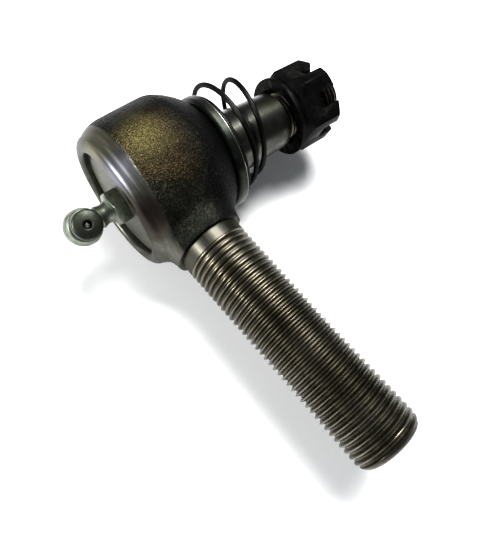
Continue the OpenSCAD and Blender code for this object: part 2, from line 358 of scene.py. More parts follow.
# ---------------------------------------------------------------- material helpers
class Graph:
    """A material's node tree, with short calls for the nodes that this scene uses."""

    def __init__(self, name):
        self.material = bpy.data.materials.new(name)
        self.material.use_nodes = True
        self.tree = self.material.node_tree
        self.shader = self.tree.nodes["Principled BSDF"]
        self.where = self.add("ShaderNodeTexCoord").outputs["Object"]

    def add(self, kind, **values):
        """A new node of a kind, with its settings."""
        node = self.tree.nodes.new(kind)
        for key, value in values.items():
            setattr(node, key, value)
        return node

    def put(self, socket, value):
        """Links a socket to another one, or gives it a value."""
        if isinstance(value, bpy.types.NodeSocket):
            self.tree.links.new(value, socket)
        else:
            socket.default_value = value

    def set(self, **values):
        """Sets sockets of the shader, such as metallic=1.0 or base_color=(r, g, b)."""
        names = {"base_color": "Base Color", "metallic": "Metallic", "roughness": "Roughness",
                 "normal": "Normal", "specular": "Specular IOR Level", "tint": "Specular Tint"}
        for key, value in values.items():
            if isinstance(value, tuple) and len(value) == 3:
                value = (*value, 1)
            self.put(self.shader.inputs[names[key]], value)

    def scaled(self, scale):
        """The object's coordinates times a scale for each axis."""
        node = self.add("ShaderNodeMapping")
        self.put(node.inputs["Vector"], self.where)
        node.inputs["Scale"].default_value = scale
        return node.outputs["Vector"]

    def noise(self, scale, detail=3, roughness=0.5, vector=None):
        """Noise with features of about 1/scale metres."""
        node = self.add("ShaderNodeTexNoise")
        self.put(node.inputs["Vector"], vector or self.where)
        node.inputs["Scale"].default_value = scale
        node.inputs["Detail"].default_value = detail
        node.inputs["Roughness"].default_value = roughness
        return node.outputs["Fac"]

    def cells(self, scale, vector=None):
        """Distance to the nearest of scattered points, about 1/scale metres apart."""
        node = self.add("ShaderNodeTexVoronoi")
        self.put(node.inputs["Vector"], vector or self.where)
        node.inputs["Scale"].default_value = scale
        return node.outputs["Distance"]

    def math(self, operation, a, b, clamp=False):
        """One operation on two numbers."""
        node = self.add("ShaderNodeMath", operation=operation, use_clamp=clamp)
        self.put(node.inputs[0], a)
        self.put(node.inputs[1], b)
        return node.outputs[0]

    def times(self, a, b):
        return self.math("MULTIPLY", a, b)

    def span(self, value, low, high, to_low=0.0, to_high=1.0):
        """value between low and high, spread over another range with soft ends."""
        node = self.add("ShaderNodeMapRange", interpolation_type="SMOOTHSTEP")
        self.put(node.inputs["Value"], value)
        for key, v in (("From Min", low), ("From Max", high), ("To Min", to_low),
                       ("To Max", to_high)):
            node.inputs[key].default_value = v
        return node.outputs["Result"]

    def ramp(self, factor, *stops):
        """Colours at places along a factor."""
        node = self.add("ShaderNodeValToRGB")
        self.put(node.inputs["Fac"], factor)
        elements = node.color_ramp.elements
        while len(elements) > 1:
            elements.remove(elements[-1])
        for i, (place, colour) in enumerate(stops):
            element = elements[0] if i == 0 else elements.new(place)
            element.position = place
            element.color = (*colour, 1)
        return node.outputs["Color"]

    def mix(self, factor, a, b):
        """Colour a where factor is 0, colour b where it is 1."""
        node = self.add("ShaderNodeMix", data_type="RGBA")
        self.put(node.inputs["Factor"], factor)
        for socket, value in ((node.inputs[6], a), (node.inputs[7], b)):
            self.put(socket, (*value, 1) if isinstance(value, tuple) else value)
        return node.outputs[2]

    def darkened(self, colour, share):
        """A colour times a number."""
        node = self.add("ShaderNodeMix", data_type="RGBA", blend_type="MULTIPLY")
        node.inputs["Factor"].default_value = 1
        self.put(node.inputs[6], colour)
        self.put(node.inputs[7], share)
        return node.outputs[2]

    def level(self, factor, a, b):
        """Number a where factor is 0, number b where it is 1."""
        node = self.add("ShaderNodeMix", data_type="FLOAT")
        for socket, value in ((node.inputs[0], factor), (node.inputs[2], a),
                              (node.inputs[3], b)):
            self.put(socket, value)
        return node.outputs[0]

    def axis_part(self, name):
        """The object's coordinate on one axis, in metres."""
        node = self.add("ShaderNodeSeparateXYZ")
        self.put(node.inputs[0], self.where)
        return node.outputs[name]

    def along(self, direction):
        """Distance along a direction, in metres."""
        node = self.add("ShaderNodeVectorMath", operation="DOT_PRODUCT")
        self.put(node.inputs[0], self.where)
        node.inputs[1].default_value = direction
        return node.outputs["Value"]

    def warped(self, scale, amount):
        """The object's coordinates pushed about by noise, by up to amount millimetres."""
        tex = self.add("ShaderNodeTexNoise")
        self.put(tex.inputs["Vector"], self.where)
        tex.inputs["Scale"].default_value = scale
        tex.inputs["Detail"].default_value = 4
        centred = self.add("ShaderNodeVectorMath", operation="SUBTRACT")
        self.put(centred.inputs[0], tex.outputs["Color"])
        centred.inputs[1].default_value = (0.5, 0.5, 0.5)
        push = self.add("ShaderNodeVectorMath", operation="SCALE")
        self.put(push.inputs[0], centred.outputs[0])
        push.inputs["Scale"].default_value = amount * MM * 2
        total = self.add("ShaderNodeVectorMath", operation="ADD")
        self.put(total.inputs[0], self.where)
        self.put(total.inputs[1], push.outputs[0])
        return total.outputs[0]

    def patch(self, centre, radius, soft, vector):
        """1 inside a ball of a radius round a point, fading to 0, all in millimetres."""
        node = self.add("ShaderNodeVectorMath", operation="DISTANCE")
        self.put(node.inputs[0], vector)
        node.inputs[1].default_value = tuple(c * MM for c in centre)
        return self.span(node.outputs["Value"], (radius - soft) * MM, (radius + soft) * MM,
                         1.0, 0.0)

    def from_axis(self, axis):
        """Distance from an axis through the origin, in metres."""
        cross = self.add("ShaderNodeVectorMath", operation="CROSS_PRODUCT")
        self.put(cross.inputs[0], self.where)
        cross.inputs[1].default_value = axis
        length = self.add("ShaderNodeVectorMath", operation="LENGTH")
        self.put(length.inputs[0], cross.outputs[0])
        return length.outputs["Value"]

    def edges(self):
        """1 on convex edges, from the mesh's own pointiness."""
        flat, convex = 0.52, 0.6
        node = self.add("ShaderNodeNewGeometry")
        return self.span(node.outputs["Pointiness"], flat, convex)

    def bump(self, height, depth):
        """A normal bumped by height, where 1 stands depth millimetres proud."""
        node = self.add("ShaderNodeBump")
        node.inputs["Strength"].default_value = 1
        node.inputs["Distance"].default_value = depth * MM
        self.put(node.inputs["Height"], height)
        return node.outputs["Normal"]


def paint(obj, material):
    """Gives an object one material."""
    obj.data.materials.clear()
    obj.data.materials.append(material)


# ---------------------------------------------------------------- materials
def forged_steel():
    """Dark forging scale with a brown tint, a blue-black side and a painted gold highlight on the top, bare turned
    steel on the lip and the collar.
    """
    g = Graph("forged_steel")
    warp = g.warped(70, 2.4)
    small = g.noise(2500, 4, 0.65)
    middle = g.noise(260, 4, 0.6)
    large = g.noise(75, 3, 0.55)
    y = g.axis_part("Y")

    # Forged skin: scale, a brown tint, a gold patch on the top that is a painted highlight, and a blue-black side
    # towards the stud
    scale = g.ramp(middle, (0.3, (0.009, 0.0105, 0.009)), (0.5, (0.02, 0.022, 0.016)),
                   (0.7, (0.045, 0.045, 0.034)))
    rust = g.ramp(middle, (0.3, (0.03, 0.018, 0.006)), (0.7, (0.085, 0.055, 0.02)))
    bronze = g.ramp(small, (0.3, (0.095, 0.074, 0.024)), (0.55, (0.18, 0.145, 0.053)),
                    (0.8, (0.26, 0.215, 0.088)))
    blue = g.ramp(small, (0.3, (0.003, 0.004, 0.004)), (0.7, (0.008, 0.01, 0.01)))
    # Painted highlight: a gold patch where the top of the dome faces the light.
    gold_highlight = g.patch((-0.5, -2, 18.8), 4.8, 4.2, warp)
    rust_spot = g.math("SUBTRACT", g.patch((3, 1, 19), 10, 3.5, warp), gold_highlight, clamp=True)
    stud_side = g.span(y, 1 * MM, 8 * MM)
    skin = g.mix(g.times(rust_spot, 0.6), scale, rust)
    skin = g.mix(g.times(gold_highlight, 0.85), skin, bronze)
    skin = g.mix(g.times(stud_side, 0.85), skin, blue)
    pebble = g.cells(2600, g.warped(1500, 0.35))
    pits = g.span(g.math("ADD", pebble, g.times(small, 0.5)), 0.4, 0.8, 1.0, 0.3)
    skin = g.darkened(skin, pits)

    # Bare steel: turning marks, and on the lip straw and lilac painted highlights and a brown painted dark
    # reflection
    lines = g.noise(500, 3, 0.5, g.scaled((0.2, 5, 0.2)))
    steel = g.ramp(g.math("ADD", g.times(lines, 0.35), g.times(middle, 0.65)),
                   (0.36, (0.05, 0.048, 0.038)), (0.5, (0.078, 0.076, 0.064)),
                   (0.64, (0.115, 0.115, 0.102)))
    # Painted light on the lip: two painted highlights, straw and lilac, and a brown painted dark reflection low on
    # the lip.
    for centre, radius, soft, share, tint in (
            ((-5.5, -9.5, 16), 3.5, 3, 0.7, (0.24, 0.225, 0.15)),
            ((3, -10, 15.5), 3.2, 2.6, 0.7, (0.2, 0.2, 0.25)),
            ((12.5, -9.5, 10), 5, 3, 0.9, (0.022, 0.014, 0.011))):
        steel = g.mix(g.times(g.patch(centre, radius, soft, warp), share), steel, tint)
    collar = g.span(g.axis_part("X"), (NECK_END + 0.05) * MM, (NECK_END + 0.2) * MM)
    steel = g.mix(g.times(collar, 0.85), steel, (0.045, 0.042, 0.032))

    wobble = g.times(g.math("SUBTRACT", large, 0.5), 2 * MM)
    lip = g.span(g.math("ADD", y, wobble), (BARE_LIP_Y - 0.3) * MM, (BARE_LIP_Y + 0.3) * MM,
                 1.0, 0.0)
    bare = g.math("MAXIMUM", lip, collar)
    rough = g.level(bare, g.span(small, 0.3, 0.7, 0.36, 0.55), g.span(lines, 0.3, 0.7, 0.3, 0.4))
    grain = g.math("ADD", g.times(pebble, -1.0), g.times(small, 0.6))
    relief = g.math("ADD", g.times(grain, g.math("SUBTRACT", 1.0, bare)), g.times(lines, 0.02))
    g.set(base_color=g.mix(bare, skin, steel), metallic=0.95, roughness=rough,
          tint=(0.6, 0.6, 0.6), normal=g.bump(relief, 0.13))
    return g.material


def thread_steel(name, axis, crest):
    """Oily thread: crests lighter and flanks darker by the distance from an axis, which is partly wear and partly
    a painted highlight on the crests and painted shade in the grooves.
    """
    g = Graph(name)
    oil = g.noise(120, 4, 0.6)
    fleck = g.noise(1400, 3, 0.6)
    wear_and_highlight = g.span(g.from_axis(axis), (crest - 0.42) * MM, (crest - 0.04) * MM)
    # flank and top are a shaded and a lit copy of one tone: painted shade in the grooves, painted highlight on the
    # worn crests.
    flank = g.ramp(oil, (0.3, (0.03, 0.026, 0.017)), (0.5, (0.048, 0.042, 0.028)),
                   (0.7, (0.07, 0.064, 0.046)))
    top = g.ramp(oil, (0.3, (0.1, 0.09, 0.065)), (0.5, (0.15, 0.138, 0.105)),
                 (0.7, (0.2, 0.19, 0.155)))
    colour = g.mix(wear_and_highlight, flank, top)
    rough = g.level(wear_and_highlight, g.span(fleck, 0.3, 0.7, 0.32, 0.46), g.span(oil, 0.3, 0.7, 0.24, 0.32))
    g.set(base_color=colour, metallic=1.0, roughness=rough, normal=g.bump(fleck, 0.006))
    return g.material


def ground_steel():
    """Ground stud with fine lines and stains, darker in patches near the dust cover."""
    g = Graph("ground_steel")
    stain = g.noise(160, 4, 0.62)
    lines = g.noise(2600, 2, 0.5, g.scaled((0.06, 1.0, 0.06)))
    colour = g.ramp(stain, (0.3, (0.016, 0.015, 0.01)), (0.48, (0.036, 0.037, 0.03)),
                    (0.7, (0.09, 0.092, 0.08)))
    # Darker in patches near the dust cover.
    near_cover = g.span(g.along(tuple(STUD_AXIS)), 19 * MM, 27 * MM, 1.0, 0.0)
    darker_near_cover = g.times(near_cover, g.span(g.noise(240, 4, 0.6), 0.35, 0.6))
    colour = g.mix(g.times(darker_near_cover, 0.85), colour, (0.02, 0.017, 0.012))
    g.set(base_color=colour, metallic=1.0, roughness=g.span(stain, 0.3, 0.7, 0.34, 0.22),
          normal=g.bump(lines, 0.01))
    return g.material


def zinc_plate(name, share):
    """Greenish zinc with dirt in it, darker where share is below 1."""
    g = Graph(name)
    cloud = g.noise(420, 4, 0.6)
    colour = g.ramp(cloud, *((at, tuple(share * c for c in tone)) for at, tone in (
        (0.3, (0.09, 0.105, 0.075)), (0.5, (0.15, 0.17, 0.13)), (0.7, (0.23, 0.25, 0.2)))))
    dirt = g.span(g.noise(900, 3, 0.6), 0.56, 0.72)
    colour = g.mix(g.times(dirt, 0.5), colour, (0.035, 0.037, 0.026))
    g.set(base_color=colour, metallic=1.0, roughness=g.span(cloud, 0.3, 0.7, 0.5, 0.38),
          normal=g.bump(g.noise(2400, 2, 0.5), 0.016))
    return g.material


def plate_steel():
    """Dull cover plate."""
    g = Graph("plate_steel")
    cloud = g.noise(300, 4, 0.6)
    grain = g.noise(2400, 3, 0.6)
    colour = g.ramp(cloud, (0.3, (0.034, 0.034, 0.02)), (0.5, (0.056, 0.056, 0.037)),
                    (0.72, (0.085, 0.085, 0.06)))
    colour = g.mix(g.span(grain, 0.55, 0.75), colour, (0.045, 0.043, 0.03))
    g.set(base_color=colour, metallic=0.4, roughness=g.span(grain, 0.3, 0.7, 0.4, 0.58),
          normal=g.bump(grain, 0.02))
    return g.material


def pan_steel():
    """Dark pressed steel with a bright cut rim, whose brightness is partly bare steel and partly a painted
    highlight.
    """
    g = Graph("pan_steel")
    cloud = g.noise(330, 4, 0.6)
    colour = g.ramp(cloud, (0.3, (0.008, 0.0088, 0.0072)), (0.55, (0.018, 0.02, 0.0165)),
                    (0.75, (0.036, 0.039, 0.032)))
    axis = tuple(COVER_AXIS)
    # The rim's light colour is partly bare cut steel and partly a painted highlight.
    bare_rim_and_highlight = g.times(g.span(g.along(axis), (RIM_Z - 0.28) * MM, (RIM_Z - 0.1) * MM),
                  g.span(g.from_axis(axis), (COVER_R - 1.1) * MM, (COVER_R - 0.8) * MM))
    colour = g.mix(bare_rim_and_highlight, colour, (0.68, 0.68, 0.62))
    g.set(base_color=colour, metallic=1.0, roughness=g.level(bare_rim_and_highlight, 0.38, 0.2),
          normal=g.bump(g.noise(1800, 2, 0.5), 0.01))
    return g.material


def black_oxide(name, light, shine):
    """Black oxide: a dark skin with a soft sheen, lighter brown steel on some convex edges, which is partly wear
    and partly a painted highlight.
    """
    g = Graph(name)
    cloud = g.noise(240, 4, 0.6)
    grain = g.noise(2200, 3, 0.55)
    colour = g.ramp(cloud, (0.3, (light * 0.55, light * 0.58, light * 0.55)),
                    (0.7, (light * 1.45, light * 1.5, light * 1.4)))
    # Lighter on convex edges: partly wear, partly a painted highlight.
    wear_and_highlight = g.times(g.edges(), g.span(g.noise(700, 3, 0.6), 0.35, 0.7))
    colour = g.mix(g.times(wear_and_highlight, 0.4), colour, (0.06, 0.058, 0.05))
    g.set(base_color=colour, metallic=0.85, specular=shine, tint=(0.3, 0.3, 0.3),
          roughness=g.span(cloud, 0.3, 0.7, 0.3, 0.44), normal=g.bump(grain, 0.014))
    return g.material


def rubber():
    """Matt black rubber."""
    g = Graph("seal_rubber")
    grain = g.noise(1500, 3, 0.6)
    g.set(base_color=g.ramp(grain, (0.3, (0.012, 0.012, 0.012)), (0.7, (0.035, 0.034, 0.032))),
          roughness=g.span(grain, 0.3, 0.7, 0.55, 0.75), normal=g.bump(grain, 0.02))
    return g.material


def bearing_steel():
    """Bright ground steel."""
    g = Graph("bearing_steel")
    lines = g.noise(2200, 2, 0.5, g.scaled((0.1, 1, 0.1)))
    g.set(base_color=g.ramp(g.noise(300, 3), (0.3, (0.42, 0.42, 0.42)), (0.7, (0.6, 0.6, 0.59))),
          metallic=1.0, roughness=g.span(lines, 0.3, 0.7, 0.18, 0.3), normal=g.bump(lines, 0.008))
    return g.material


def sintered_iron():
    """Brown porous iron."""
    g = Graph("sintered_iron")
    grain = g.cells(2600)
    g.set(base_color=g.ramp(g.noise(600, 4), (0.3, (0.16, 0.145, 0.12)), (0.7, (0.3, 0.28, 0.24))),
          metallic=0.9, roughness=g.span(grain, 0.0, 0.6, 0.4, 0.6), normal=g.bump(grain, 0.02))
    return g.material


MATERIAL = {
    "forged_steel": forged_steel(),
    "ground_steel": ground_steel(),
    "bearing_steel": bearing_steel(),
    "sintered_iron": sintered_iron(),
    "spring_steel": black_oxide("spring_steel", 0.008, 0.4),
    "plate_steel": plate_steel(),
    "zinc_plate": zinc_plate("zinc_plate", 1.0),
    "nipple_zinc": zinc_plate("nipple_zinc", 0.26),
    "pan_steel": pan_steel(),
    "seal_rubber": rubber(),
    "nut_black": black_oxide("nut_black", 0.006, 0.22),
    "shank_thread": thread_steel("shank_thread", (1, 0, 0), SHANK_R),
    "stud_thread": thread_steel("stud_thread", tuple(STUD_AXIS), STUD_THREAD_R),
}


# ---------------------------------------------------------------- housing
def barrel_profile():
    """Angles from +Y and distances from the ball centre of the turned shape of the forging, with
    the edge between its barrel and its dome rounded off."""
    outline = (arc(0, 0, DOME_R, 90, math.degrees(math.acos(BARREL_R / DOME_R)), 60)
               + arc(BARREL_R - SHOULDER_R, SHOULDER_Y, SHOULDER_R, 0, -33, 16)
               + arc(LIP_OUTER_R - LIP_ROUND, LIP_FACE + LIP_ROUND, LIP_ROUND, -33, -90, 12))
    points = fine(outline, 0.1)
    angles = np.linspace(0, math.atan2(*points[-1]), 600)
    radii = np.interp(angles, [math.atan2(r, y) for r, y in points],
                      [math.hypot(r, y) for r, y in points])
    width = 30
    kernel = np.exp(-np.linspace(-2, 2, 2 * width + 1) ** 2)
    soft = np.convolve(np.pad(radii, width, "edge"), kernel / kernel.sum(), "valid")
    share = np.clip((math.radians(104) - angles) / math.radians(12), 0, 1)
    return angles, radii + (soft - radii) * share


BARREL_PROFILE = barrel_profile()


def barrel_radius(angle):
    """Distance from the ball centre to the turned shape of the forging, at angles from +Y."""
    return np.interp(angle, *BARREL_PROFILE)


def neck_radius(angle):
    """Distance from the ball centre to the neck, at angles from +X."""
    side = NECK_R / np.sin(np.maximum(angle, 0.01))
    end = NECK_END / np.cos(np.minimum(angle, 1.2))
    return np.where(angle > 1.2, 0, smooth_least(side, end, NECK_EDGE))


def smooth_least(a, b, k):
    """The smaller of two values, rounded off where they differ by less than k."""
    h = np.clip(0.5 + 0.5 * (b - a) / k, 0, 1)
    return b + (a - b) * h - k * h * (1 - h)


def smooth_most(a, b, k):
    """The larger of two values, rounded off where they differ by less than k."""
    return -smooth_least(-a, -b, k)


def spread(low, high, dense_low, dense_high, coarse, dense):
    """Values from low to high, closer together in the dense stretch."""
    values = [low]
    while values[-1] < high - 1e-9:
        here = values[-1]
        step = dense if dense_low <= here <= dense_high else coarse
        values.append(min(here + step, high))
    return values


def socket_profile():
    """The inside of the forging from the lip's edge to the mouth in the dome, as (radius, y)."""
    plate_y = PLATE_SEAT_Y - PLATE_T
    return (arc(LIP_OPENING_R + LIP_EDGE, LIP_FACE + LIP_EDGE, LIP_EDGE, -90, -180, 12)
            + [(LIP_OPENING_R, plate_y), (PLATE_R, plate_y), (PLATE_R, PLATE_SEAT_Y),
               (SOCKET_R, PLATE_SEAT_Y), (SOCKET_R, SOCKET_TOP), (THROAT_R, SOCKET_TOP),
               (THROAT_R, THROAT_TOP), (MOUTH_R, MOUTH_Y - 0.6), (MOUTH_R, MOUTH_Y - 0.1)])


def housing_forging():
    """The forging with its socket, as one closed surface of rows round the socket axis."""
    top = math.atan2(MOUTH_R, MOUTH_Y)
    bottom = math.atan2(LIP_OUTER_R - LIP_ROUND, LIP_FACE)
    rows = spread(top, bottom, math.radians(62), math.radians(118), math.radians(0.9),
                  math.radians(0.45))
    columns = spread(-math.pi, math.pi - math.radians(0.5), math.radians(-31), math.radians(31),
                     math.radians(1.0), math.radians(0.45))
    psi, phi = np.meshgrid(rows, columns, indexing="ij")
    d = np.stack([np.sin(psi) * np.cos(phi), np.cos(psi), np.sin(psi) * np.sin(phi)], -1)
    chi = np.arccos(np.clip(d[..., 0], -1, 1))
    radius = smooth_most(barrel_radius(psi), neck_radius(chi), NECK_BLEND)
    points = []
    for i in range(len(rows)):
        for j in range(len(columns)):
            n = Vector(d[i, j])
            p = n * radius[i, j]
            points.append(p + n * forging_relief(p))
    inner = socket_profile()
    points += [Vector((r * math.cos(c), y, r * math.sin(c))) for r, y in inner for c in columns]
    total, wide = len(rows) + len(inner), len(columns)
    faces = [(i * wide + j, i * wide + (j + 1) % wide, (i + 1) % total * wide + (j + 1) % wide,
              (i + 1) % total * wide + j) for i in range(total) for j in range(wide)]
    return mesh("housing_forging", points, faces, "housing", "forged_steel", "housing", sharp=38)


def forging_relief(p):
    """How far the forged skin stands proud of its ideal shape, in millimetres."""
    above_lip = max(0, min(1, (p.y - BARE_LIP_Y + 0.5) / 0.9))
    before_end = max(0, min(1, (NECK_END - 0.15 - p.x) / 0.8))
    large = noise.noise(p * 0.11) * 0.2
    pebble = noise.noise(p * 1.3 + Vector((7, 0, 0))) * 0.05 + noise.noise(p * 2.6) * 0.035
    flash = noise.noise(Vector((3, p.y * 0.5, p.z * 0.5))) * 0.12 if p.x > NECK_END - 0.6 else 0
    return above_lip * before_end * (large + pebble) + flash


def shank():
    """The helical thread with its rounded end, and the turned collar behind it."""
    taper, drop, fullness = 3.4, 2.5, 2.4
    hidden_r = SHANK_R - 0.95

    def outline(z):
        if z < THREAD_START - 0.9:
            return hidden_r
        share = max(0, min(1, (z - SHANK_END + taper) / taper))
        return SHANK_R - drop * (1 - math.sqrt(1 - share ** fullness))

    points, faces = thread(THREAD_START - 2.4, SHANK_END, SHANK_R, SHANK_DEPTH, SHANK_PITCH,
                           outline, 144, 20)
    piece = mesh("shank_thread", points, faces, "housing", "forged_steel", None, SHANK, sharp=28)
    root = SHANK_R - SHANK_DEPTH
    collar_r, inside = SHANK_R - 0.05, NECK_END - 3
    profile = ([(0, inside), (collar_r, inside)]
               + fine([(collar_r, inside), (collar_r, THREAD_START - 0.5),
                       (root, THREAD_START + 0.45), (root - 1, THREAD_START + 1.6),
                       (0, THREAD_START + 1.6)], 0.6))
    collar = mesh("shank_collar", *turned(profile, 160), "housing", "forged_steel", None, SHANK)
    return piece, collar


forging = housing_forging()
paint(forging, MATERIAL["forged_steel"])
shank_thread, shank_collar = shank()
paint(shank_thread, MATERIAL["shank_thread"])
paint(shank_collar, MATERIAL["forged_steel"])


# ---------------------------------------------------------------- cover plate and grease fitting
def cover_plate():
    """Flat plate with a shallow groove inside its edge."""
    edge_r, edge_y = PLATE_R - 0.05, PLATE_SEAT_Y - PLATE_T
    groove_r, groove_y = 13.2, PLATE_SEAT_Y - 0.6
    profile = [(0, PLATE_SEAT_Y), (edge_r, PLATE_SEAT_Y), (edge_r, edge_y),
               (groove_r + 0.3, edge_y), (groove_r, groove_y), (groove_r - 0.35, groove_y),
               (groove_r - 0.6, PLATE_FACE + 0.25), (groove_r - 0.85, PLATE_FACE),
               (8, PLATE_FACE), (0, PLATE_FACE)]
    return mesh("cover_plate_disc", *turned(fine(profile, 1.2), 128), "housing", "plate_steel",
                "cover_plate", SOCKET)


def grease_elbow():
    """Hexagon, neck and round elbow, with the boss that the nipple screws into."""
    turn = Matrix.Rotation(math.atan2(NIPPLE_AXIS.x, NIPPLE_AXIS.z) + math.radians(30), 4, "Z")
    low, high = PLATE_FACE - FITTING_HEX_H, PLATE_FACE + 0.02
    corner = FITTING_AF / math.sqrt(3)
    hexagon = helper(*prism(6, corner, low, high), SOCKET @ turn)
    chamfer = [(0, low), (FITTING_AF / 2 - 0.25, low), (corner + 0.02, low + 0.5),
               (corner + 0.02, high - 0.42), (FITTING_AF / 2 - 0.1, high), (0, high)]
    boolean(hexagon, helper(*turned(chamfer, 96), SOCKET), "INTERSECT")
    hexagon.name = "grease_elbow_hexagon"
    bevel(hexagon, 0.16, 2)
    declare(hexagon, "housing", "grease_elbow")
    neck_r = 2.45
    outline = (arc(0, ELBOW_Y, ELBOW_R, -90, 55, 24)
               + [(neck_r + 0.28, ELBOW_Y + 4.15), (neck_r, ELBOW_Y + 5.1),
                  (neck_r - 0.05, low - 1.3), (neck_r + 0.25, low - 0.35),
                  (neck_r + 0.75, low + 0.02), (0, low + 0.1)])
    body = mesh("grease_elbow_ball", *turned(fine(outline, 0.5), 96), "housing", "zinc_plate",
                None, SOCKET)
    return hexagon, body


def nipple_matrix():
    """Lays local Z along the nipple, with the origin in the middle of the elbow."""
    turn = Matrix.Rotation(math.atan2(NIPPLE_AXIS.x, NIPPLE_AXIS.z), 4, "Y")
    return Matrix.Translation(Vector((0, ELBOW_Y * MM, 0))) @ turn


def grease_nipple():
    """The boss on the elbow and the head that the grease gun grips, with the ball's mouth."""
    boss_r, boss_top = 3.75, 4.95
    foot_r, waist_r, head_r, mouth_r, tip = 3.05, 2.35, 3.27, 0.9, 9.8
    boss = [(0, 1.5), (boss_r, 1.5), (boss_r, boss_top - 0.4), (boss_r - 0.25, boss_top - 0.05),
            (boss_r - 0.85, boss_top), (0, boss_top)]
    collar = mesh("grease_nipple_boss", *turned(fine(boss, 0.4), 96), "housing", "zinc_plate",
                  None, nipple_matrix())
    bevel(collar, 0.18, 2)
    dome = [(r, tip - 0.1 - 0.12 * (r - 1) ** 2) for r in (3.0, 2.6, 2.2, 1.8, 1.4)]
    head = [(1.5, 4.6), (foot_r, 4.6), (foot_r, 5.5), (waist_r, 6.3), (waist_r, 7.0),
            (waist_r + 0.4, 7.5), (head_r - 0.05, 8.0), (head_r, 8.1), (head_r, 8.75),
            (head_r - 0.07, 8.95)] + dome + [
            (mouth_r + 0.25, tip - 0.1), (mouth_r + 0.05, tip - 0.22), (mouth_r, tip - 0.6),
            (mouth_r + 0.02, 8.9), (1.5, 8.3)]
    nose = mesh("grease_nipple_head", *turned(fine(head, 0.35), 96, closed=True), "housing",
                "zinc_plate", "grease_nipple", nipple_matrix())
    return collar, nose


def check_ball():
    """The ball that closes the nipple's mouth."""
    ball_z, ball_r = 7.42, 1.25
    profile = arc(0, ball_z, ball_r, -90, 90, 24)
    return mesh("check_ball_shiny", *turned(profile, 48), "check_ball", "bearing_steel",
                "check_ball", nipple_matrix())


paint(cover_plate(), MATERIAL["plate_steel"])
nipple_collar, nipple_head = grease_nipple()
for piece in (*grease_elbow(), nipple_collar):
    paint(piece, MATERIAL["zinc_plate"])
paint(nipple_head, MATERIAL["nipple_zinc"])
paint(check_ball(), MATERIAL["bearing_steel"])


# ---------------------------------------------------------------- stud
def ball_stud():
    """Head, journal and taper as one piece, and the threaded end with its cotter hole."""
    head_ball, head_r, head_low, head_top = 7.2, 11.0, -2.4, -0.57
    root = STUD_THREAD_R - 0.8
    flank = math.degrees(math.asin(-head_low / head_ball))
    profile = (arc(0, 0, head_ball, -90, -flank, 16)
               + [(head_r - 0.8, head_low), (head_r, head_low + 0.8), (head_r, head_top - 0.3),
                  (head_r - 0.3, head_top), (JOURNAL_R, head_top), (JOURNAL_R, TAPER_START),
                  (TAPER_END_R, TAPER_END - 0.4), (TAPER_END_R - 0.4, TAPER_END),
                  (root, TAPER_END + 0.25), (root, TAPER_END + 1.6), (0, TAPER_END + 1.6)])
    shape = mesh("stud_body", *turned(fine(profile, 1.0), 160), "stud", "ground_steel",
                 "ball_stud", STUD)

    def outline(z):
        start = root + max(0, z - (TAPER_END + 0.7)) * 1.2
        end = STUD_THREAD_R - max(0, z - (STUD_END - 0.9))
        return max(0.1, min(start, end))

    points, faces = thread(TAPER_END + 0.2, STUD_END, STUD_THREAD_R, STUD_DEPTH, STUD_PITCH,
                           outline, 96, 16)
    screw = mesh("stud_thread", points, faces, "stud", "ground_steel", None, STUD, sharp=28)
    hole = helper(*prism(40, COTTER_R, -10, 10),
                  STUD @ Matrix.Translation(Vector((0, 0, COTTER_Z * MM)))
                  @ Matrix.Rotation(NUT_TURN, 4, "Z") @ Matrix.Rotation(math.pi / 2, 4, "Y"))
    boolean(screw, hole)
    return shape, screw


for piece, name in zip(ball_stud(), ("ground_steel", "stud_thread")):
    paint(piece, MATERIAL[name])


# ---------------------------------------------------------------- nut
def slotted_nut():
    """Hexagon with a flange, rounded corners, six slots and a well for the taper's end."""
    corner = NUT_AF / math.sqrt(3)
    tall = NUT_TOP - NUT_FACE
    flange_r, flange_t = 10.4, 1.1
    face_r = NUT_AF / 2 - 1.3
    bore = STUD_THREAD_R + 0.12
    slot_w, slot_depth, reach = 4.0, 5.4, 14
    lift = Matrix.Translation(Vector((0, 0, NUT_FACE * MM)))
    turn = Matrix.Rotation(NUT_TURN + math.radians(30), 4, "Z")
    nut = helper(*prism(6, corner, flange_t - 0.3, tall), STUD @ lift @ turn)
    cone = [(0, 0), (face_r, 0), (face_r, flange_t + 0.15), (corner + 0.1, flange_t + 3.2),
            (corner + 0.1, tall - 1.4), (NUT_AF / 2 - 0.3, tall), (0, tall)]
    boolean(nut, helper(*turned(cone, 160), STUD @ lift), "INTERSECT")
    ring = [(0, 0), (flange_r - 0.2, 0), (flange_r, 0.2), (flange_r, flange_t - 0.15),
            (flange_r - 0.15, flange_t), (0, flange_t)]
    boolean(nut, helper(*turned(ring, 160), STUD @ lift), "UNION")
    well = [(0, -1), (TAPER_END_R + 0.6, -1), (TAPER_END_R + 0.35, 0.02), (bore, 1.5),
            (bore, tall - 0.7), (bore + 0.75, tall + 0.05), (bore + 0.75, tall + 1),
            (0, tall + 1)]
    boolean(nut, helper(*turned(well, 96), STUD @ lift))
    for k in range(3):
        slot = block((-reach, -slot_w / 2, tall - slot_depth), (reach, slot_w / 2, tall + 1))
        place = STUD @ lift @ Matrix.Rotation(NUT_TURN + TAU / 6 * k, 4, "Z")
        boolean(nut, helper(*slot, place))
    nut.name = "slotted_nut_black"
    bevel(nut, 0.22, 3, 25)
    declare(nut, "nut", "slotted_nut")
    return nut


paint(slotted_nut(), MATERIAL["nut_black"])


